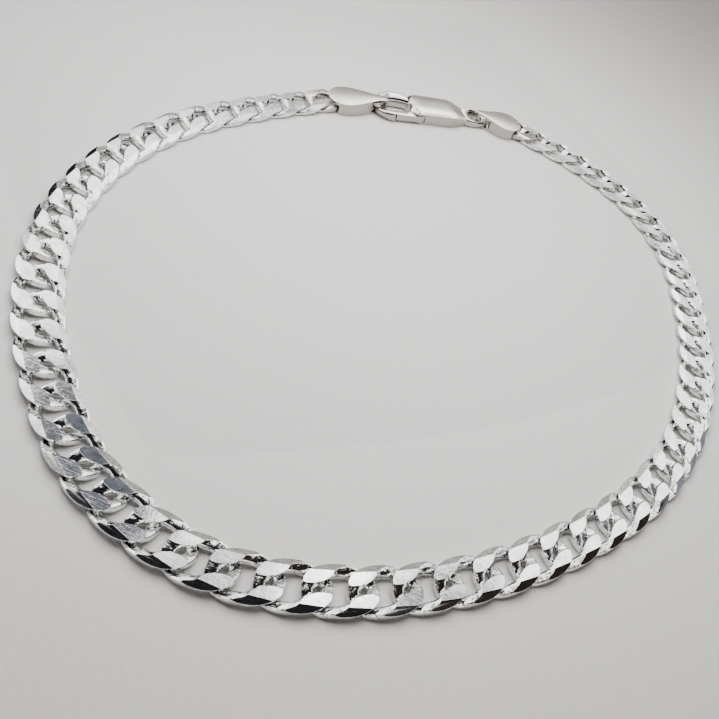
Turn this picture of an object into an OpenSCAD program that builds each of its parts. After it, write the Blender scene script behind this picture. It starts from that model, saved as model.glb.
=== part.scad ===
// Flat curb link bracelet lying closed on a table, with two end caps and a lobster clasp.
// Millimetres, +Z up, table top at z = 0, origin under the middle of the loop.

/* [Chain] */
// Full width of a link across the chain
link_width = 4.1; // [3.95:0.05:4.2]
// Thickness of the chain between its two flat cut faces
link_thick = 1.0; // [0.9:0.05:1.05]
// Height of the wire before its top and bottom are cut flat
wire_high = 0.7; // [0.66:0.02:0.74]
// Clear height between a link and the neighbour that passes over it
link_gap = 0.28; // [0.27:0.01:0.3]
// Width of the flat face across a link, between its two sloping cuts
flat_width = 2.85; // [2.6:0.05:3.0]

/* [End caps] */
// Length of an end cap from its folded tip to its round end
cap_length = 7.2; // [7.0:0.05:7.3]
// Width of an end cap at its round end
cap_width = 3.9; // [3.7:0.05:4.1]
// Height of an end cap over its folded tip
cap_high = 1.8; // [1.75:0.05:1.95]
// Thickness of the sheet that an end cap is folded from
cap_sheet = 0.28; // [0.22:0.01:0.28]

/* [Clasp] */
// Width of the clasp's body
clasp_width = 4.3; // [4.1:0.05:4.5]
// Height of the clasp's body
clasp_high = 1.7; // [1.65:0.05:1.8]
// Width of the oval hole in the hook
hook_hole = 2.1; // [1.9:0.05:2.2]
// Thickness of the lever
lever_thick = 0.7; // [0.6:0.02:0.74]
// Diameter of the lever's pin
pin_dia = 0.6; // [0.5:0.02:0.64]

/* [Hidden] */

// Points on the middle of the chain, every third link, from the left cap round the front to the right cap.
route = [
    [-19.1, 23.7], [-24.6, 15.8], [-28.9, 7.3], [-30.7, -2.1], [-29.6, -11.7],
    [-25.6, -20.4], [-19.6, -27.9], [-12.1, -33.8], [-2.9, -36.1], [6.4, -33.9],
    [14.6, -28.9], [21.4, -22.1], [26.8, -14.1], [29.9, -5.1], [30.5, 4.5],
    [29.1, 13.9], [26.1, 23.0], [20.1, 30.4], [11.7, 34.6], [2.8, 36.1]
];
links_per_point = 3;
link_count = links_per_point * (len(route) - 1) + 1;

// Smooth curve through the route points: place of link i and the way it points.
function pt(k) = k < 0 ? 2 * route[0] - route[1]
    : k >= len(route) ? 2 * route[len(route) - 1] - route[len(route) - 2]
    : route[k];
function span_of(i) = min(floor(i / links_per_point), len(route) - 2);
function place(i) =
    let (k = span_of(i), f = i / links_per_point - k,
         a = pt(k - 1), b = pt(k), c = pt(k + 1), d = pt(k + 2))
    0.5 * (2 * b + (c - a) * f + (2 * a - 5 * b + 4 * c - d) * f * f + (3 * b - a - 3 * c + d) * f * f * f);
function heading(i) =
    let (k = span_of(i), f = i / links_per_point - k,
         a = pt(k - 1), b = pt(k), c = pt(k + 1), d = pt(k + 2),
         g = (c - a) + 2 * (2 * a - 5 * b + 4 * c - d) * f + 3 * (3 * b - a - 3 * c + d) * f * f)
    atan2(g[1], g[0]);

// Outline of one link: half lengths and half widths of its outer edge and of its hole.
link_half = 2.64;
hole_half = 1.7;
side_half = link_width / 2;
hole_side = side_half / 2;
// The wire rises over one neighbour and dips under the other, then top and bottom are cut flat.
rise = (wire_high + link_gap) / 2;
cut_high = link_thick / 2;
cut_slope = 0.45;
ring_n = 16;

// Reach of an outline along a direction; a higher power gives squarer corners.
function reach(c, s, power) = pow(pow(abs(c), power) + pow(abs(s), power), -1 / power);
// The corners that ride over a neighbour are squarer than the ones that dip under it.
function corner(c, s) = c * s > 0.001 ? 2.4 : s < 0 ? 2.8 : 2.6;
// Height of the wire's middle along the link, from 1 at a high corner to -1 at a low one
function wave(a) = -sign(sin(2 * a)) * pow(abs(sin(2 * a)), 0.8);
function cut_at(y) = cut_high - max(0, abs(y) - flat_width / 2) * cut_slope;
function wire_pt(a, across, up) =
    let (c = cos(a), s = sin(a), ko = reach(c, s, corner(c, s)), ki = reach(c, s, 2),
         o = [link_half * c * ko, side_half * s * ko],
         n = [hole_half * c * ki, hole_side * s * ki],
         m = (o + n) / 2 + (o - n) / 2 * across,
         z = up * wire_high / 2 + rise * wave(a))
    [m[0], m[1], max(-cut_at(m[1]), min(cut_at(m[1]), z))];
// Six corners round the wire
wire = [[1, 0], [0.6, 1], [-0.6, 1], [-1, 0], [-0.6, -1], [0.6, -1]];
wire_n = len(wire);
one_link = [for (i = [0:ring_n - 1]) for (w = wire) wire_pt(i * 360 / ring_n, w[0], w[1])];
function placed(p, q, h) =
    [q[0] + p[0] * cos(h) - p[1] * sin(h), q[1] + p[0] * sin(h) + p[1] * cos(h), p[2] + cut_high];
function ring_faces(b) = [
    for (i = [0:ring_n - 1]) for (j = [0:wire_n - 1])
        let (p = b + i * wire_n + j, q = b + ((i + 1) % ring_n) * wire_n + j,
             r = b + ((i + 1) % ring_n) * wire_n + (j + 1) % wire_n, t = b + i * wire_n + (j + 1) % wire_n)
        each [[p, t, q], [q, t, r]]
];

module links(first, last) {
    polyhedron(
        points = [for (i = [first:last])
            let (q = place(i), h = heading(i))
            for (p = one_link) placed(p, q, h)],
        faces = [for (i = [0:last - first]) each ring_faces(i * ring_n * wire_n)],
        convexity = 10
    );
}

module chain() {
    color([0.86, 0.87, 0.88])
        links(1, link_count - 2);
}

// Solid through a row of four-cornered sections [x, y1, y2, bottom, top at y1, top at y2].
module bar_through(rows) {
    n = len(rows);
    polyhedron(
        points = [for (s = rows) each [
            [s[0], s[1], s[3]], [s[0], s[2], s[3]], [s[0], s[2], s[5]], [s[0], s[1], s[4]]
        ]],
        faces = concat(
            [[0, 1, 2], [0, 2, 3]],
            [for (i = [0:n - 2]) for (j = [0:3])
                let (p = 4 * i + j, q = p + 4, t = 4 * i + (j + 1) % 4, r = t + 4)
                each [[p, q, t], [q, r, t]]],
            [[4 * n - 4, 4 * n - 2, 4 * n - 3], [4 * n - 4, 4 * n - 1, 4 * n - 2]]
        ),
        convexity = 4
    );
}

// The clasp's own frame: x from the body's front out over the hook, y towards the inside of the loop.
clasp_at = [-10.4, 29.5];
clasp_turn = 212;
module at_clasp() {
    translate([clasp_at[0], clasp_at[1], 0])
        rotate([0, 0, clasp_turn])
            children();
}

// End cap: x from the folded tip to the round end.
tip_half = 0.46;
end_r = cap_width / 2;
end_x = cap_length - end_r;
window_low = 0.28;
window_high = 1.48;
mouth_start = 5.2;
mouth_half = end_r - 0.25;
function neck(x, tip) =
    let (s = (x - tip) / (end_x - tip))
    tip_half + (end_r - tip_half) * (3 * s * s - 2 * s * s * s);
function cap_top(x) = cap_high - max(0, x - 1.2) * 0.07;
function cap_side(tip) = concat(
    [for (i = [0:8]) let (x = tip + i * (end_x - tip) / 9) [x, neck(x, tip)]],
    [for (a = [0:14:84]) [end_x + end_r * sin(a), end_r * cos(a)]]
);

module cap_shell(tip, window_end) {
    difference() {
        bar_through([for (s = cap_side(tip)) [s[0], -s[1], s[1], 0, cap_top(s[0]), cap_top(s[0])]]);
        // Window through the folded tip, for the bar of the clasp
        translate([tip + 0.3, -cap_width, window_low])
            cube([window_end - tip - 0.3, 2 * cap_width, window_high - window_low]);
        // Mouth for the last link, open at the round end and underneath
        bar_through([for (x = [mouth_start, cap_length + 1])
            [x, -mouth_half, mouth_half, -1, cap_top(x) - cap_sheet, cap_top(x) - cap_sheet]]);
    }
}

left_tip = [3.2, 0.3];
module left_end_cap() {
    color([0.82, 0.83, 0.83])
        union() {
            at_clasp()
                translate([left_tip[0], left_tip[1], 0])
                    rotate([0, 0, 2])
                        cap_shell(0, 1.95);
            links(0, 0);
        }
}

// The right cap is folded back further than the left one, so it is shorter.
right_tip = [-7.6, -0.15];
module right_end_cap() {
    color([0.8, 0.81, 0.81])
        union() {
            at_clasp()
                translate([right_tip[0], right_tip[1], 0])
                    rotate([0, 0, 165])
                        cap_shell(1.4, 3.15);
            links(link_count - 1, link_count - 1);
        }
}

// Lobster clasp
body_half = clasp_width / 2;
hole_mid = [1.9, 0.4];
hole_r = [1.95, hook_hole / 2];
pivot = [-0.9, 1.3];
gate_reach = 3.15;
slot_mid = 0.75;
slot_half = lever_thick / 2 + 0.1;
root_r = 0.9;
// Ring at the tail: its middle, its half length and half width, and the same of its hole
tail_mid = [-8.6, 0.15];
tail_r = [1.95, 1.3];
tail_hole_r = [0.9, 0.8];
// Metal left over the blind bore for the pin, so that the top stays plain
bore_cover = 0.25;

module oval(mid, r, power) {
    polygon([for (a = [0:10:350]) let (c = cos(a), s = sin(a), k = reach(c, s, power))
        [mid[0] + r[0] * c * k, mid[1] + r[1] * s * k]]);
}

module body_block() {
    // Lower part, with straight sides
    bar_through([for (s = [[-7.3, 1.35, 0.85], [-6.5, 1.6, 1.1], [-5.8, 1.98, 1.25], [-5.2, 2.15, 1.3],
        [-2.8, 2.15, 1.35], [-0.4, 2.15, 1.3], [0.25, 1.9, 1.15], [0.5, 1.5, 1.0]])
        let (w = s[1] + body_half - 2.15, z = s[2] + clasp_high - 1.7) [s[0], -w, w, 0, z, z]]);
    // Top, drawn in along its edges
    bar_through([for (s = [[-7.7, 1.0, 0.98], [-7.2, 1.1, 1.15], [-6.4, 1.35, 1.4], [-5.7, 1.7, 1.6],
        [-5.0, 1.9, 1.68], [-2.8, 1.9, 1.7], [-0.9, 1.9, 1.68], [-0.3, 1.75, 1.6], [0.1, 1.3, 1.35]])
        let (w = s[1] + body_half - 2.15, z = s[2] + clasp_high - 1.7) [s[0], -w, w, 0.6, z, z]]);
}

module hook() {
    intersection() {
        linear_extrude(height = 2)
            offset(r = 0.7, $fn = 32)
                offset(delta = -0.7)
                    polygon([
                        [-1.5, -2.0], [0.3, -2.1], [2.2, -2.05], [3.5, -1.55], [4.55, -0.6], [4.9, 0.45],
                        [4.55, 1.5], [3.65, 2.15], [2.3, 2.45], [0.3, 2.2], [-1.5, 2.1]
                    ]);
        // Height of the hook: lower at its end bar and on its near side
        bar_through([
            [-2, -2.6, 2.6, 0.1, 1.64, 1.2], [2.0, -2.6, 2.6, 0.1, 1.62, 1.16],
            [3.0, -2.6, 2.6, 0.2, 1.5, 1.16], [3.8, -2.6, 2.6, 0.4, 1.36, 1.14],
            [5.2, -2.6, 2.6, 0.4, 1.2, 1.06]
        ]);
    }
}

module tail() {
    difference() {
        union() {
            // Root of the ring, which widens into the body
            bar_through([for (s = [
                    [0.6, 0, 0.4, 1.3, 0.95], [1.4, 0.1, 0.25, 1.4, 1.1], [2.4, 0.35, 0, 1.5, 1.3]
                ])
                let (w = tail_r[1] + s[1])
                [tail_mid[0] + s[0], tail_mid[1] - w, tail_mid[1] + w, s[2], s[3], s[4]]]);
            intersection() {
                linear_extrude(height = 2)
                    oval(tail_mid, tail_r, 3);
                // Its height, lower at its end and on its near side
                bar_through([for (s = [[-2.4, 1.1, 0.7], [-0.4, 1.3, 0.8], [1.6, 1.4, 0.95]])
                    [tail_mid[0] + s[0], -2, 2.2, 0.4, s[1], s[2]]]);
            }
        }
        translate([0, 0, -1])
            linear_extrude(height = 4)
                oval(tail_mid - [0.05, 0], tail_hole_r, 2.6);
    }
}

module clasp_body() {
    color([0.84, 0.85, 0.85])
        at_clasp()
            difference() {
                union() {
                    body_block();
                    hook();
                    tail();
                }
                // Hole of the hook
                translate([0, 0, -1])
                    linear_extrude(height = 4)
                        oval(hole_mid, hole_r, 2.6);
                // Gap in the hook that the lever closes
                intersection() {
                    translate([pivot[0], pivot[1], -1])
                        cylinder(r = gate_reach + 0.12, h = 4, $fn = 64);
                    translate([0.12, 0.9, -1])
                        cube([4, 3, 4]);
                }
                // Slot in the body for the round root of the lever and for its gate
                translate([pivot[0], pivot[1], slot_mid - slot_half])
                    cylinder(r = root_r + 0.1, h = 2 * slot_half, $fn = 40);
                translate([pivot[0], 0.3, slot_mid - slot_half])
                    cube([1.8, 4, 2 * slot_half]);
                // Bore for the pin, drilled from underneath
                translate([pivot[0], pivot[1], -1])
                    cylinder(r = pin_dia / 2 + 0.01, h = 1 + clasp_high - bore_cover, $fn = 32);
            }
}

module clasp_lever() {
    color([0.8, 0.8, 0.8])
        at_clasp()
            translate([0, 0, slot_mid - lever_thick / 2])
                difference() {
                    linear_extrude(height = lever_thick)
                        intersection() {
                            union() {
                                translate(pivot)
                                    circle(r = root_r, $fn = 40);
                                polygon([
                                    [-0.9, 0.6], [0, 0.95], [0.9, 1.5], [2.6, 1.55], [2.6, 2.38], [0.9, 2.34],
                                    [0.1, 2.3], [-0.2, 2.42], [-0.9, 2.45], [-1.3, 2.2]
                                ]);
                            }
                            translate(pivot)
                                circle(r = gate_reach, $fn = 64);
                        }
                    translate([pivot[0], pivot[1], -1])
                        cylinder(r = pin_dia / 2 + 0.05, h = 4, $fn = 32);
                }
}

module lever_pin() {
    color([0.78, 0.78, 0.78])
        at_clasp()
            translate([pivot[0], pivot[1], 0.02])
                cylinder(r = pin_dia / 2, h = clasp_high - bore_cover - 0.06, $fn = 32);
}

chain();
left_end_cap();
right_end_cap();
clasp_body();
clasp_lever();
lever_pin();
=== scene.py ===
"""Looks of the flat curb link bracelet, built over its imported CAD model. Pieces are shaped in
millimetres, and turned into metres when they are finished."""

import math

import bmesh
import bpy
from mathutils import Matrix, Vector


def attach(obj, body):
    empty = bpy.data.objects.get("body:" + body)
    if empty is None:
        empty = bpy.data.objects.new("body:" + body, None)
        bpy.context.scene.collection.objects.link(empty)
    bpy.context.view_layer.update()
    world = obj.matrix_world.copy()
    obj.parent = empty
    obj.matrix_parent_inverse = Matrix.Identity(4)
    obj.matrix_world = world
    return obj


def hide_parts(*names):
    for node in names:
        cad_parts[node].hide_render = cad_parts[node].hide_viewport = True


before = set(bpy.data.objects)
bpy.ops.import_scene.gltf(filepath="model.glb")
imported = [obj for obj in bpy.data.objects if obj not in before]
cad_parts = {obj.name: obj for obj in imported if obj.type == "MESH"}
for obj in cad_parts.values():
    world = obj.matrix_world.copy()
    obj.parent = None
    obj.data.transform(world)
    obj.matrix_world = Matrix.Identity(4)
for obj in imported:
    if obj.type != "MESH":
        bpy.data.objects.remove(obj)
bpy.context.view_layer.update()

# Camera: it stands over the front of the loop and looks down across it,
# turned on its own axis so that the clasp lies along the top of the picture.
CAMERA_AT = (0.006649, -0.061397, 0.051211)
CAMERA_HEADING = -0.75
CAMERA_TILT = 44.316
CAMERA_ROLL = 24.685


def turned(degrees, axis):
    return Matrix.Rotation(math.radians(degrees), 4, axis)


def add_object(name, data):
    thing = bpy.data.objects.new(name, data)
    bpy.context.scene.collection.objects.link(thing)
    return thing


camera_data = bpy.data.cameras.new("camera")
camera_data.sensor_width = 36
camera_data.lens = 40.30
camera_data.shift_x = -0.1171
camera_data.shift_y = 0.0394
camera_data.clip_start = 0.005
camera = add_object("camera", camera_data)
camera.matrix_world = (Matrix.Translation(CAMERA_AT) @ turned(CAMERA_HEADING, "Z")
                       @ turned(CAMERA_TILT, "X") @ turned(CAMERA_ROLL, "Z"))
bpy.context.scene.camera = camera

# One link: silver wire bent into an oval ring that rises over one neighbour and dips
# under the other. The chain is then cut flat above and below and along both sides with
# a diamond tool, which leaves bright flat facets with crisp edges.
LINK_HALF = 2.75
LINK_SIDE = 1.98
HOLE_HALF = 1.82
HOLE_SIDE = 1.05
WIRE_HALF_HIGH = 0.37
WIRE_RISE = 0.48
WIRE_TILT = 0.04
CUT_HIGH = 0.5
CUT_FLAT = 1.34
CUT_SLOPE = 0.4
CRISP_ANGLE = math.radians(13)
CRISP_SIDES = 8
EDGE_WEAR = 0.045
MERGE_GAP = 0.012
SEAM_GAP = 0.0001
ON_PLANE = 0.0005
RING_RADIUS = 2
FULL_TURN = 2 * math.pi


def reach(c, s, power):
    """How far a rounded square of half width 1 reaches in the direction c, s."""
    return (abs(c) ** power + abs(s) ** power) ** (-1 / power)


def plain_ring(steps, sides, start=0.0, turn=FULL_TURN):
    """Round wire of radius 1, rolled up from a grid and bent round the upright axis. A spin
    makes the same ring, but with its faces in another order at each run."""
    ring = bmesh.new()
    bmesh.ops.create_grid(ring, x_segments=steps, y_segments=sides, size=1)
    for v in ring.verts:
        along, around = start + turn * (v.co.x + 1) / 2, math.pi * (v.co.y + 1)
        out = RING_RADIUS + math.cos(around)
        v.co = (out * math.cos(along), out * math.sin(along), math.sin(around))
    bmesh.ops.remove_doubles(ring, verts=ring.verts, dist=SEAM_GAP)
    if turn < FULL_TURN:
        open_ends = [e for e in ring.edges if e.is_boundary]
        bmesh.ops.holes_fill(ring, edges=open_ends, sides=0)
    bmesh.ops.recalc_face_normals(ring, faces=ring.faces)
    return ring


def square_wire(ring, power, inner=None):
    """Squares the wire of a plain ring a little, as pressing or casting leaves it. The side
    towards the hole may stay rounder."""
    for v in ring.verts:
        r = math.hypot(v.co.x, v.co.y)
        across, up = r - RING_RADIUS, v.co.z
        if abs(across) + abs(up) < 0.1:
            continue
        k = reach(across, up, inner if inner and across < 0 else power)
        f = (RING_RADIUS + across * k) / r
        v.co = (v.co.x * f, v.co.y * f, up * k)


def bend_wire(ring, outer, hole, height):
    """Bends a plain ring to an outline and a hole, and lifts it to its heights."""
    for v in ring.verts:
        c, s = Vector((v.co.x, v.co.y)).normalized()
        across, up = math.hypot(v.co.x, v.co.y) - RING_RADIUS, v.co.z
        out, inn = outer(c, s), hole(c, s)
        x, y = ((o + i) / 2 + (o - i) / 2 * across for o, i in zip(out, inn))
        v.co = (x, y, height(c, s, x, y, across, up))


def cut_flat(shape, point, normal):
    """Cuts away what stands beyond a plane and closes the cut with faces marked as cut."""
    geom = shape.verts[:] + shape.edges[:] + shape.faces[:]
    made = bmesh.ops.bisect_plane(shape, geom=geom, dist=ON_PLANE, plane_co=point,
                                  plane_no=normal, clear_outer=True)
    cut_edges = [e for e in made["geom_cut"] if isinstance(e, bmesh.types.BMEdge)]
    rim = [e for e in cut_edges if e.is_boundary]
    mark = shape.faces.layers.float["cut"]
    for face in bmesh.ops.edgeloop_fill(shape, edges=rim)["faces"]:
        face[mark] = 1.0


def to_mesh(name, shape):
    mesh = bpy.data.meshes.new(name)
    shape.to_mesh(mesh)
    shape.free()
    return mesh


def link_outline(c, s):
    k = reach(c, s, 2.3)
    return LINK_HALF * c * k, LINK_SIDE * s * k


def link_hole(c, s):
    """Hole that is narrower in two opposite corners, as the twisted wire leaves it."""
    k = reach(c, s, 2.4 if c * s >= 0 else 1.3)
    return HOLE_HALF * c * k, HOLE_SIDE * s * k


def link_height(c, s, x, y, across, up):
    lean = 2 * s * c
    rise = WIRE_RISE * math.copysign(abs(lean) ** 1.5, lean)
    return up * WIRE_HALF_HIGH + across * WIRE_TILT - rise


def make_link():
    link = plain_ring(48, 24)
    link.faces.layers.float.new("cut")
    worn = link.faces.layers.float.new("worn")
    square_wire(link, 5, inner=2.3)
    bend_wire(link, link_outline, link_hole, link_height)
    for up in (1, -1):
        cut_flat(link, (0, 0, up * CUT_HIGH), (0, 0, up))
    for up in (1, -1):
        for side in (1, -1):
            normal = Vector((0, side * CUT_SLOPE, up)).normalized()
            cut_flat(link, (0, side * CUT_FLAT, up * CUT_HIGH), normal)
    bmesh.ops.remove_doubles(link, verts=link.verts, dist=MERGE_GAP)
    crisp = [e for e in link.edges if e.is_manifold and e.calc_face_angle(0) > CRISP_ANGLE
             and max(len(f.verts) for f in e.link_faces) > CRISP_SIDES]
    made = bmesh.ops.bevel(link, geom=crisp, offset=EDGE_WEAR, segments=1, profile=0.5,
                           affect="EDGES", material=-1, clamp_overlap=True)
    for face in made["faces"]:
        face[worn] = 1.0
    return to_mesh("link", link)


link_mesh = make_link()

# Chain: loose silver links, each one through its neighbours, laid out on a table in a
# closed loop. Every third link sits on a point of the route, from the left cap round the
# front of the loop to the right cap. The first and the last link belong to the caps.
ROUTE = [
    (-19.1, 23.7), (-24.6, 15.8), (-28.9, 7.3), (-30.7, -2.1), (-29.6, -11.7),
    (-25.6, -20.4), (-19.6, -27.9), (-12.1, -33.8), (-2.9, -36.1), (6.4, -33.9),
    (14.6, -28.9), (21.4, -22.1), (26.8, -14.1), (29.9, -5.1), (30.5, 4.5),
    (29.1, 13.9), (26.1, 23.0), (20.1, 30.4), (11.7, 34.6), (2.8, 36.1),
]
LINKS_PER_POINT = 3
LINK_COUNT = LINKS_PER_POINT * (len(ROUTE) - 1) + 1
LINK_LEAN = 0.8
LINK_LIFT = 0.5
MILLIMETRE = 0.001
HAIRLINE_TURNS = (0.35, 1.2, 2.6)


def route_point(k):
    """Point k of the route, carried on straight beyond both ends."""
    if k < 0:
        return 2 * Vector(ROUTE[0]) - Vector(ROUTE[1])
    if k >= len(ROUTE):
        return 2 * Vector(ROUTE[-1]) - Vector(ROUTE[-2])
    return Vector(ROUTE[k])


def link_place(i):
    """Place and heading of link i on the smooth curve through the route."""
    k = min(i // LINKS_PER_POINT, len(ROUTE) - 2)
    f = i / LINKS_PER_POINT - k
    a, b, c, d = (route_point(k + j) for j in (-1, 0, 1, 2))
    second, third = 2 * a - 5 * b + 4 * c - d, 3 * b - a - 3 * c + d
    at = 0.5 * (2 * b + (c - a) * f + second * f * f + third * f ** 3)
    along = (c - a) + 2 * second * f + 3 * third * f * f
    return at, math.atan2(along.y, along.x)


def link_matrix(i):
    """Place of link i on the table, tipped a little in a way of its own."""
    at, heading = link_place(i)
    lean = turned(LINK_LEAN * math.sin(7.3 * i), "X")
    lift = turned(LINK_LIFT * math.sin(4.1 * i + 1), "Y")
    place = Matrix.Translation((at.x, at.y, CUT_HIGH))
    return place @ Matrix.Rotation(heading, 4, "Z") @ lean @ lift


def add_link(piece, i):
    """Adds link i of the chain to the piece being made."""
    first = len(piece.verts)
    piece.from_mesh(link_mesh)
    piece.verts.ensure_lookup_table()
    bmesh.ops.transform(piece, matrix=link_matrix(i), verts=piece.verts[first:])


def finish_piece(name, shape, material, body, replaced, smooth=30):
    """Makes a piece of the shape, in metres, with its finish, and joins it to its body. Each
    face keeps how upright it is, which the finish uses for painted shade on upright walls,
    and the diamond-cut faces stay flat."""
    bmesh.ops.scale(shape, vec=(MILLIMETRE,) * 3, verts=shape.verts)
    mesh = to_mesh(name, shape)
    # How upright each face is, which the finish uses to paint shade on upright walls.
    wall_shade = mesh.attributes.new("wall_shade", "FLOAT", "FACE")
    cut = mesh.attributes.get("cut")
    for face in mesh.polygons:
        wall_shade.data[face.index].value = 1 - abs(face.normal.z)
        face.use_smooth = cut is None or cut.data[face.index].value < 0.5
    mesh.set_sharp_from_angle(angle=math.radians(smooth))
    mesh.materials.append(material)
    piece = add_object(name, mesh)
    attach(piece, body)
    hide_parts(replaced)


class Finish:
    """One socket of a material; sums of finishes add Math nodes."""

    def __init__(self, tree, socket=None):
        self.tree = tree
        self.socket = socket

    def node(self, kind, settings=None, inputs=None, output=0):
        made = self.tree.nodes.new(kind)
        for name, value in (settings or {}).items():
            setattr(made, name, value)
        for name, value in (inputs or {}).items():
            if isinstance(value, Finish):
                self.tree.links.new(value.socket, made.inputs[name])
            else:
                made.inputs[name].default_value = value
        return Finish(self.tree, made.outputs[output])

    def math(self, operation, first, second=0.0):
        return self.node("ShaderNodeMath", {"operation": operation}, {0: first, 1: second})

    def __add__(self, other):
        return self.math("ADD", self, other)

    def __radd__(self, other):
        return self.math("ADD", other, self)

    def __sub__(self, other):
        return self.math("SUBTRACT", self, other)

    def __rsub__(self, other):
        return self.math("SUBTRACT", other, self)

    def __mul__(self, other):
        return self.math("MULTIPLY", self, other)

    def __rmul__(self, other):
        return self.math("MULTIPLY", other, self)

    def ramp(self, low, high):
        return self.node("ShaderNodeMapRange", {"interpolation_type": "SMOOTHSTEP"},
                         {"Value": self, "From Min": low, "From Max": high})

    def shades(self, dark, light):
        return self.node("ShaderNodeMix", {"data_type": "RGBA"},
                         {0: self, 6: (*dark, 1), 7: (*light, 1)}, 2)

    def mark(self, name):
        """A value kept on the faces of a mesh."""
        return self.node("ShaderNodeAttribute", {"attribute_name": name}, output=2)

    def noise(self, place, scale, detail):
        return self.node("ShaderNodeTexNoise",
                         inputs={"Vector": place, "Scale": scale, "Detail": detail})

    def feed(self, node, name):
        """Links the socket to a named input of a shader or an output node."""
        self.tree.links.new(self.socket, node.inputs[name])


def new_material(name):
    """A new material, its canvas, its Principled shader and the place on its piece."""
    material = bpy.data.materials.new(name)
    material.use_nodes = True
    canvas = Finish(material.node_tree)
    shader = material.node_tree.nodes["Principled BSDF"]
    return material, canvas, shader, canvas.node("ShaderNodeTexCoord", output=3)


def silver(name, dark, light, rough, grain, dull_and_shade=0.0):
    """Polished silver. Its tone is mottled and crossed by fine hairlines. The worn edges of
    cut faces are rougher, and the skin outside the cut faces is rippled by a given grain.
    A cast piece is more even in tone, and its upright walls are darkened with painted shade."""
    material, canvas, shader, place = new_material(name)
    cut, worn = canvas.mark("cut"), canvas.mark("worn")
    wall_shade = canvas.mark("wall_shade").ramp(0.5, 0.95)
    cloud = canvas.noise(place, 900.0, 4.0)
    mottle = canvas.noise(place, 4500.0, 3.0)
    ripple = canvas.noise(place, 2600.0, 2.5)
    scratch = 0.0
    for turn in HAIRLINE_TURNS:
        lines = canvas.node("ShaderNodeMapping", inputs={
            "Vector": place, "Rotation": (0.2, 0.3, turn), "Scale": (500.0, 11000.0, 500.0)})
        scratch = canvas.noise(lines, 1.0, 2.0).ramp(0.58, 0.74) + scratch
    tone = cloud.ramp(0.3, 0.7) * 0.45 + mottle.ramp(0.35, 0.65) * 0.4 + 0.25 - scratch * 0.45
    # A cast piece gets a more even tone and painted shade on its upright walls: the more upright
    # a face, the darker it is.
    tone = tone * (1 - dull_and_shade * 0.6) + dull_and_shade * 0.5 - wall_shade * dull_and_shade
    tone.shades(dark, light).feed(shader, "Base Color")
    (rough + scratch * 0.03 + worn * 0.4).feed(shader, "Roughness")
    shader.inputs["Metallic"].default_value = 1.0
    relief = mottle * 0.1 - scratch * 0.03 + ripple * (1 - cut) * grain
    bump = canvas.node("ShaderNodeBump", inputs={
        "Strength": 0.6, "Distance": 0.00004, "Height": relief})
    bump.feed(shader, "Normal")
    return material


link_silver = silver("link_silver", (0.46, 0.465, 0.475), (0.97, 0.965, 0.955), 0.08, 1.9)
chain = bmesh.new()
for i in range(1, LINK_COUNT - 1):
    add_link(chain, i)
finish_piece("curb_links", chain, link_silver, "bracelet", "chain", smooth=10)

# End caps: a narrow strip of silver folded over the clasp's ring, widening like a spoon
# to a round end. The chain's last link is soldered into its mouth.
CAP_LENGTH = 7.2
CAP_END = 1.95
CAP_NECK = 0.46
CAP_HIGH = 1.8
CAP_FALL_START = 1.2
CAP_FALL = 0.07
CAP_ROUNDING = 0.07
FOLD_THICK = 0.3
WINDOW_LOW = 0.28
WINDOW_TOP = 1.48
MOUTH_START = 5.2
MOUTH_HALF = 1.7
MOUTH_TOP = 1.1
BEYOND = 4
CLASP_PLACE = Matrix.Translation((-10.4, 29.5, 0)) @ turned(212, "Z")
# Piece, CAD node, folded tip, end of its window, place and heading on the clasp, its link.
CAPS = [
    ("left_spoon_cap", "left_end_cap", 0.0, 1.95, (3.2, 0.3, 0), 2, 0),
    ("right_spoon_cap", "right_end_cap", 1.4, 3.15, (-7.6, -0.15, 0), 165, LINK_COUNT - 1),
]


def cap_half(x, tip):
    """Half width of a cap at x from its folded tip."""
    end = CAP_LENGTH - CAP_END
    if x > end:
        return math.sqrt(max(0.0, CAP_END ** 2 - (x - end) ** 2))
    s = (x - tip) / (end - tip)
    return CAP_NECK + (CAP_END - CAP_NECK) * (3 * s * s - 2 * s ** 3)


def cap_top(x):
    return CAP_HIGH - max(0.0, x - CAP_FALL_START) * CAP_FALL


def block(low, high):
    """A plain block between two corners, to cut with."""
    low, high = Vector(low), Vector(high)
    shape = bmesh.new()
    place = Matrix.Translation((low + high) / 2) @ Matrix.Diagonal((*(high - low), 1))
    bmesh.ops.create_cube(shape, size=1, matrix=place)
    return shape


def is_point(item):
    return isinstance(item, bmesh.types.BMVert)


def carve(shape, cutters, rounding, segments=3, joined=()):
    """Joins and cuts shapes, and rounds the crisp edges that are left."""
    base = add_object("base", to_mesh("base", shape))
    helpers = []
    for operation, parts in (("UNION", joined), ("DIFFERENCE", cutters)):
        for part in parts:
            other = add_object("other", to_mesh("other", part))
            helpers.append(other)
            step = base.modifiers.new("step", "BOOLEAN")
            step.operation = operation
            step.object = other
            step.solver = "EXACT"
    edge = base.modifiers.new("edge", "BEVEL")
    edge.width = rounding
    edge.segments = segments
    edge.limit_method = "ANGLE"
    edge.angle_limit = math.radians(32)
    edge.use_clamp_overlap = True
    bpy.context.view_layer.update()
    seen = base.evaluated_get(bpy.context.evaluated_depsgraph_get())
    result = bmesh.new()
    result.from_mesh(bpy.data.meshes.new_from_object(seen))
    for thing in [base, *helpers]:
        bpy.data.objects.remove(thing)
    return result


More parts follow.
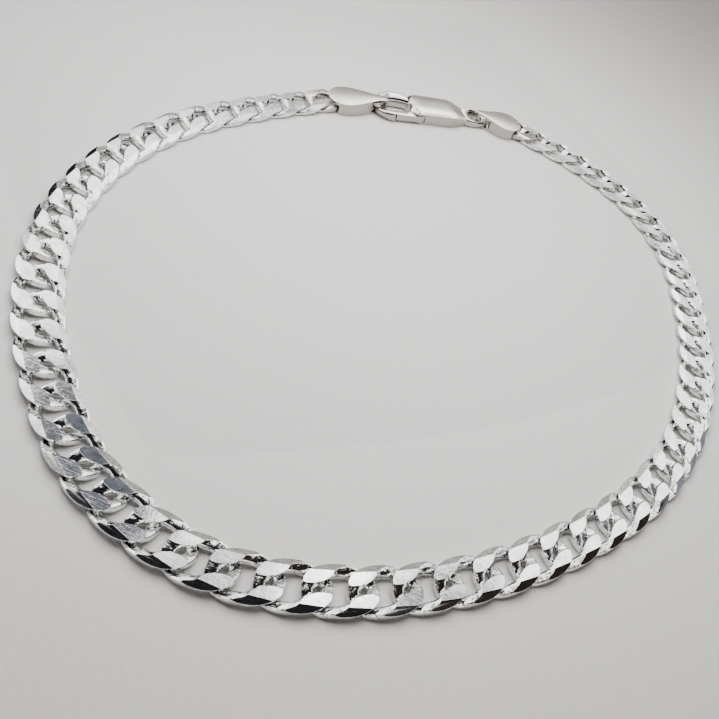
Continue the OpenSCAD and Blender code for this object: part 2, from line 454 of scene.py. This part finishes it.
def make_cap(tip, window_end):
    """Cap in its own frame, x from the folded tip to the round end."""
    shape = bmesh.new()
    bmesh.ops.create_grid(shape, x_segments=44, y_segments=2, size=1)
    for v in shape.verts:
        x = tip + (CAP_LENGTH - tip) * math.sin((v.co.x + 1) * math.pi / 4)
        v.co = (x, v.co.y * cap_half(x, tip), 0)
    bmesh.ops.remove_doubles(shape, verts=shape.verts, dist=0.001)
    made = bmesh.ops.extrude_face_region(shape, geom=shape.faces[:])
    for v in filter(is_point, made["geom"]):
        v.co.z = cap_top(v.co.x)
    bmesh.ops.recalc_face_normals(shape, faces=shape.faces)
    window = block((tip + FOLD_THICK, -BEYOND, WINDOW_LOW), (window_end, BEYOND, WINDOW_TOP))
    mouth = block((MOUTH_START, -MOUTH_HALF, -1), (9, MOUTH_HALF, MOUTH_TOP))
    return carve(shape, [window, mouth], rounding=CAP_ROUNDING)


# Cast silver with painted shade on its upright walls.
cap_silver = silver("cap_silver", (0.42, 0.39, 0.36), (0.76, 0.745, 0.72), 0.2, 0.4, 1.0)
for name, node, tip, window_end, at, heading, i in CAPS:
    cap = make_cap(tip, window_end)
    place = Matrix.Translation(at) @ turned(heading, "Z")
    bmesh.ops.transform(cap, matrix=CLASP_PLACE @ place, verts=cap.verts)
    add_link(cap, i)
    finish_piece(name, cap, cap_silver, "bracelet", node)

# Clasp body: a flat lobster clasp, cast in silver and brushed on top, with a thin flange
# under its top. Its hook is an oval ring, open on the near side, and its tail is a small
# ring for the cap. A slot and a round root hold the lever.
PIVOT = Vector((-0.9, 1.3))
ROOT_RADIUS = 0.93
ROOT_PLAY = 0.06
ROOT_MIDDLE = 0.75
# Along the body, half width, top and bottom.
BODY_STATIONS = [
    (-8.0, 1.1, 0.95, 0.4), (-7.3, 1.3, 1.12, 0.22), (-6.5, 1.58, 1.4, 0.05),
    (-5.8, 1.95, 1.62, 0.0), (-5.1, 2.13, 1.69, 0.0), (-2.8, 2.15, 1.7, 0.0),
    (-0.9, 2.15, 1.68, 0.0), (-0.3, 2.02, 1.6, 0.0), (0.05, 1.85, 1.42, 0.05),
    (0.4, 1.6, 1.05, 0.1),
]
CROWN = 0.04
SHOULDER = 0.2
FLANGE_SHARES = (0.56, 0.6)
FLANGE_OVER = 0.13


def body_section(x):
    """Half width, top and bottom of the clasp's body at x."""
    for a, b in zip(BODY_STATIONS, BODY_STATIONS[1:]):
        if x <= b[0]:
            f = max(0.0, (x - a[0]) / (b[0] - a[0]))
            return [p + (q - p) * f for p, q in zip(a[1:], b[1:])]
    return BODY_STATIONS[-1][1:]


def make_body():
    """Plate made from a grid, widened and raised to the body's sections."""
    shape = bmesh.new()
    bmesh.ops.create_grid(shape, x_segments=26, y_segments=12, size=1)
    first, last = BODY_STATIONS[0][0], BODY_STATIONS[-1][0]
    for v in shape.verts:
        v.co.x = (first + last) / 2 + (last - first) / 2 * v.co.x
    made = bmesh.ops.extrude_face_region(shape, geom=shape.faces[:])
    raised = set(filter(is_point, made["geom"]))
    for v in shape.verts:
        half, top, low = body_section(v.co.x)
        across = v.co.y
        v.co.y = half * across
        v.co.z = top - CROWN * across ** 2 - SHOULDER * across ** 4 if v in raised else low
    bmesh.ops.recalc_face_normals(shape, faces=shape.faces)
    return shape


def set_back(shape):
    """Sets the body's walls back a little under its top, which leaves a thin flange."""
    for v in shape.verts:
        _, top, low = body_section(v.co.x)
        v.co.z = (v.co.z - low) / (top - low)
    for share in FLANGE_SHARES:
        geom = shape.verts[:] + shape.edges[:] + shape.faces[:]
        bmesh.ops.bisect_plane(shape, geom=geom, dist=ON_PLANE, plane_co=(0, 0, share),
                               plane_no=(0, 0, 1))
    for v in shape.verts:
        half, top, low = body_section(v.co.x)
        if v.co.z < sum(FLANGE_SHARES) / 2:
            v.co.y *= 1 - FLANGE_OVER / half
        v.co.z = low + (top - low) * v.co.z
    return shape


def upright_pin(segments, radius, depth, middle):
    """A solid round pin, standing up."""
    shape = bmesh.new()
    bmesh.ops.create_cone(shape, cap_ends=True, segments=segments, radius1=radius, radius2=radius,
                          depth=depth, matrix=Matrix.Translation(middle))
    return shape


def between(value, low, high):
    """Share of the way from low to high, held between 0 and 1."""
    return min(1.0, max(0.0, (value - low) / (high - low)))


def hook_outer(c, s):
    k = reach(c, s, 2.3)
    return 2.3 + 2.6 * c * k, 0.2 + (2.3 if s < 0 else 2.28) * s * k


def hook_inner(c, s):
    k = reach(c, s, 2.6)
    return 1.9 + 1.95 * c * k, 0.4 + 1.05 * s * k


def hook_height(c, s, x, y, across, up):
    """Rounded wire, higher on its far arm and thin at its outer end."""
    far = between(y, 0.6, -1.8)
    end = between(x, 2.6, 3.9)
    top = 1.16 + 0.46 * far - (0.1 + 0.32 * far) * end
    low = 0.1 + 0.3 * end
    return (top + low) / 2 + (top - low) / 2 * up


def make_hook():
    hook = plain_ring(60, 24, start=math.radians(-140), turn=math.radians(228))
    square_wire(hook, 3.6)
    bend_wire(hook, hook_outer, hook_inner, hook_height)
    return hook


def tail_outer(c, s):
    k = reach(c, s, 3)
    return -8.6 + 1.95 * c * k, 0.15 + 1.3 * s * k


def tail_hole(c, s):
    k = reach(c, s, 2.6)
    return -8.65 + 0.9 * c * k, 0.15 + 0.8 * s * k


def tail_height(c, s, x, y, across, up):
    """Rounded wire that falls a little towards its end and towards the near side."""
    top = 1.05 + (x + 9.0) * 0.11 - (y - 0.15) * 0.19
    low = 0.4 - 0.28 * between(x, -9.4, -8.6)
    return (top + low) / 2 + (top - low) / 2 * up


def make_tail():
    tail = plain_ring(48, 20)
    square_wire(tail, 3.2)
    bend_wire(tail, tail_outer, tail_hole, tail_height)
    return tail


def make_throat():
    """The hook's opening, which also cuts into the body."""
    throat = upright_pin(56, 1, 6, (0, 0, 0))
    for v in throat.verts:
        v.co.x, v.co.y = hook_inner(*Vector((v.co.x, v.co.y)).normalized())
    return throat


# Cast silver with painted shade on its upright walls.
clasp_silver = silver("clasp_silver", (0.42, 0.39, 0.36), (0.78, 0.765, 0.74), 0.16, 0.4, 1.0)
slot = block((-0.9, 0.3, 0.3), (1.2, 4, 1.2))
root = upright_pin(48, ROOT_RADIUS + ROOT_PLAY, 0.9, (*PIVOT, ROOT_MIDDLE))
body = set_back(carve(make_body(), [make_throat()], rounding=0.28, segments=5))
clasp = carve(body, [slot, root], rounding=0.02, segments=1)
clasp.from_mesh(to_mesh("tail", make_tail()))
clasp.from_mesh(to_mesh("hook", make_hook()))
bmesh.ops.transform(clasp, matrix=CLASP_PLACE, verts=clasp.verts)
finish_piece("lobster_clasp", clasp, clasp_silver, "bracelet", "clasp_body",
             smooth=38)

# Lever: a small sprung gate that closes the hook, with a thumb nub by its pivot.
# It turns on a round pin pressed through the body, which stays as the CAD has it.
GATE_OUTLINE = [
    (-0.6, 0.75), (0.3, 1.15), (1.0, 1.5), (2.25, 1.52), (2.2, 2.36), (0.9, 2.33), (0.1, 2.3),
    (-0.9, 2.23),
]
GATE_LOW = 0.36
GATE_THICK = 0.76
BORE_RADIUS = 0.35


def make_lever():
    """Round root and flat gate in one, with the pin's bore through the root."""
    boss = upright_pin(48, ROOT_RADIUS, 0.8, (*PIVOT, ROOT_MIDDLE))
    gate = bmesh.new()
    face = gate.faces.new([gate.verts.new((x, y, GATE_LOW)) for x, y in GATE_OUTLINE])
    made = bmesh.ops.extrude_face_region(gate, geom=[face])
    bmesh.ops.translate(gate, vec=(0, 0, GATE_THICK), verts=list(filter(is_point, made["geom"])))
    bmesh.ops.recalc_face_normals(gate, faces=gate.faces)
    bore = upright_pin(32, BORE_RADIUS, 4, (*PIVOT, 0))
    return carve(boss, [bore], rounding=0.12, joined=[gate])


lever = make_lever()
bmesh.ops.transform(lever, matrix=CLASP_PLACE, verts=lever.verts)
finish_piece("clasp_gate", lever, clasp_silver, "lever", "clasp_lever")
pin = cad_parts["lever_pin"]
pin.data.materials.clear()
pin.data.materials.append(clasp_silver)

# Table: the matte pale surface that the bracelet lies on, warm grey with a faint
# speckle. It is a stage and no part of the bracelet.
TABLE_HALF = 0.6
table_grey, canvas, shader, place = new_material("table_grey")
speck = canvas.noise(place, 2500.0, 3.0).ramp(0.35, 0.65)
drift = canvas.noise(place, 18.0, 2.0)
tone = speck * 0.35 + drift * 0.5
tone.shades((0.7, 0.68, 0.66), (0.8, 0.78, 0.76)).feed(shader, "Base Color")
shader.inputs["Roughness"].default_value = 0.85
shader.inputs["Specular IOR Level"].default_value = 0.2
top = bmesh.new()
bmesh.ops.create_grid(top, x_segments=1, y_segments=1, size=TABLE_HALF)
table = add_object("table", to_mesh("table", top))
table.data.materials.append(table_grey)

# Room: pale all round, bright behind and to the left, with the dark side of the room
# behind the camera and a few patches that the polished facets pick up. The table, which
# is lit by the lamp, gets only a little of its light.
SKY_LOW = (1.8, 1.77, 1.73)
SKY_HIGH = (3.5, 3.5, 3.4)
CEILING = (0.3, 0.28, 0.24)
# Azimuth, height, half width and half height in degrees, softness of the edge, and colour.
PATCHES = [
    (-18, 28, 12, 5, 0.35, (1.1, 1.08, 1.05)),
    (-38, 42, 9, 7, 0.35, (3.2, 3.2, 3.1)),
    (-8, 48, 17, 10, 0.35, (5.0, 5.0, 4.9)),
    (-4, 61, 7, 4, 0.35, (6.0, 6.0, 5.9)),
    (-19, 64, 12, 4, 0.35, (1.15, 1.15, 1.14)),
    (12, 59, 7, 3.5, 0.35, (0.4, 0.4, 0.4)),
    (-80, 28, 26, 18, 0.35, (4.0, 4.0, 3.95)),
    (-33.5, 55, 10, 7.2, 0.12, (0.15, 0.165, 0.2)),
    (-6, 13, 34, 14, 0.2, (0.58, 0.56, 0.53)),
    (-27, 76, 24, 9, 0.35, (0.8, 0.8, 0.79)),
    (180, 54, 100, 40, 0.25, (0.018, 0.018, 0.021)),
    (84, 44, 32, 26, 0.25, (0.033, 0.026, 0.022)),
    (62, 50, 24, 20, 0.25, (0.03, 0.022, 0.018)),
    (53, 23, 10, 12, 0.35, (0.3, 0.28, 0.35)),
    (-47, 9, 21, 14, 0.25, (0.02, 0.02, 0.03)),
]
DIMMED = 0.92

world = bpy.data.worlds.new("room")
world.use_nodes = True
room = Finish(world.node_tree)
ray = room.node("ShaderNodeTexCoord", output=0)
axes = room.node("ShaderNodeSeparateXYZ", inputs={0: ray}).socket.node.outputs
x_part, y_part, z_part = (Finish(room.tree, axis) for axis in axes)
azimuth = room.math("ARCTAN2", x_part, y_part)
height = room.math("ARCSINE", z_part)


def patch(az, el, wide, high, soft):
    """1 inside a soft-edged oval patch of the room, 0 outside; angles in degrees."""
    side = room.math("ABSOLUTE", azimuth - math.radians(az))
    side = room.math("MINIMUM", side, FULL_TURN - side)
    across = side * (1 / math.radians(wide))
    up = (height - math.radians(el)) * (1 / math.radians(high))
    far = room.math("SQRT", across * across + up * up)
    return 1 - far.ramp(1 - soft, 1 + soft)


def over(base, mask, shade):
    return room.node("ShaderNodeMix", {"data_type": "RGBA"},
                     {0: mask, 6: base, 7: (*shade, 1)}, 2)


sky = height.ramp(0.45, 0.8).shades(SKY_LOW, SKY_HIGH)
for az, el, wide, high, soft, shade in PATCHES:
    sky = over(sky, patch(az, el, wide, high, soft), shade)
sky = over(sky, height.ramp(1.36, 1.46), CEILING)
on_matte = room.node("ShaderNodeLightPath", output=2)
back = room.node("ShaderNodeBackground",
                 inputs={"Color": sky, "Strength": 1 - on_matte * DIMMED})
back.feed(world.node_tree.nodes["World Output"], "Surface")
bpy.context.scene.world = world

# Lamp: one soft round panel facing straight down, over the back of the loop and a little
# to the left. It leaves the soft shadow in front of the silver and fades towards the
# corners of the table.
lamp_data = bpy.data.lights.new("lamp", "AREA")
lamp_data.shape = "DISK"
lamp_data.size = 0.1
lamp_data.energy = 0.127
lamp = add_object("lamp", lamp_data)
lamp.location = (-0.01, 0.016, 0.062)
lamp.visible_glossy = False
